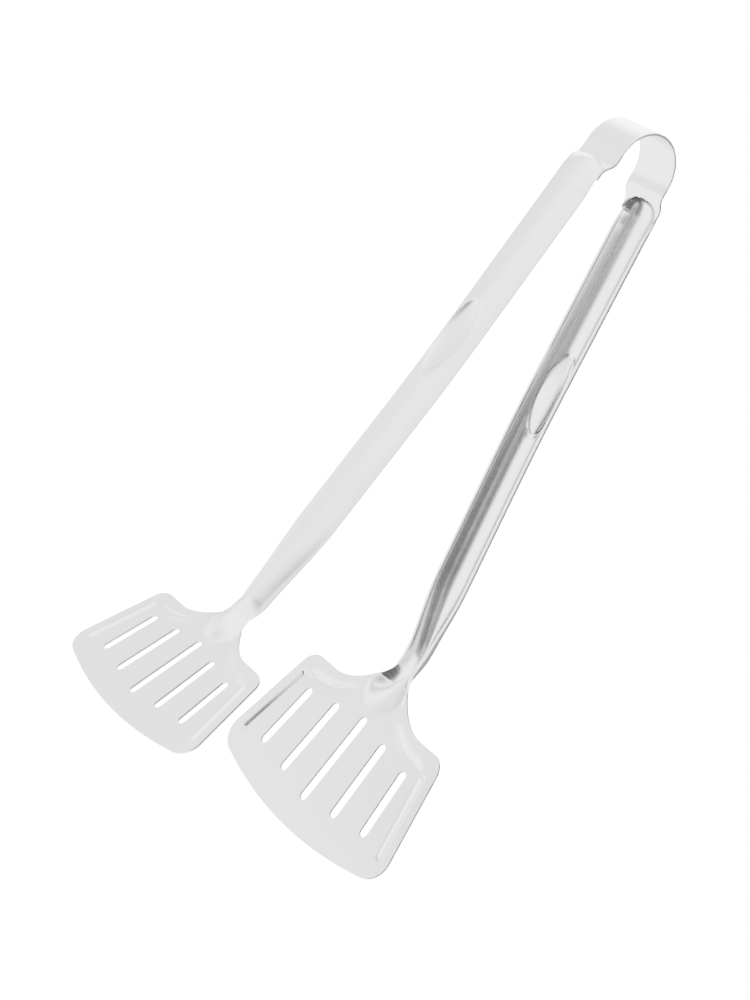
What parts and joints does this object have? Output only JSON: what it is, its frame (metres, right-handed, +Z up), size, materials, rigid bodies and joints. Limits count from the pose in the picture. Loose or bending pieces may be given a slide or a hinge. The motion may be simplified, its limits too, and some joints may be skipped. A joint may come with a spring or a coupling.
{
  "type": "spring loaded kitchen tongs",
  "caption": "Stainless steel turner tongs: a bow spring joins channel-shaped handles with thumb rests, which end in slotted fan-shaped blades of unequal size.",
  "frame": {"origin": "bottom centre of the whole object's bounding box, lying on its side with the arms at rest", "axes": "+X from the smaller blade's arm to the larger blade's arm, the way the tongs open; +Y from the blades to the bow; +Z up, across the width of the strip"},
  "size_m": [0.1286, 0.2994, 0.1082],
  "materials": {
    "steel": "satin brushed stainless steel, brighter inside the channels"
  },
  "bodies": {
    "left_arm": {"spring_bow": "steel", "left_tang": "steel", "left_handle": "steel", "left_neck": "steel", "left_blade": "steel"},
    "right_arm": {"right_tang": "steel", "right_handle": "steel", "right_neck": "steel", "right_blade": "steel"}
  },
  "joints": [
    {"name": "arm_squeeze", "type": "hinge", "parent": "left_arm", "child": "right_arm", "pos_m": [0.01493, 0.13413, 0.05412], "axis": [0, 0, -1], "range_deg": [-8, 23], "stiffness_Nm_per_rad": 2.5, "deforming": ["spring_bow"]}
  ]
}
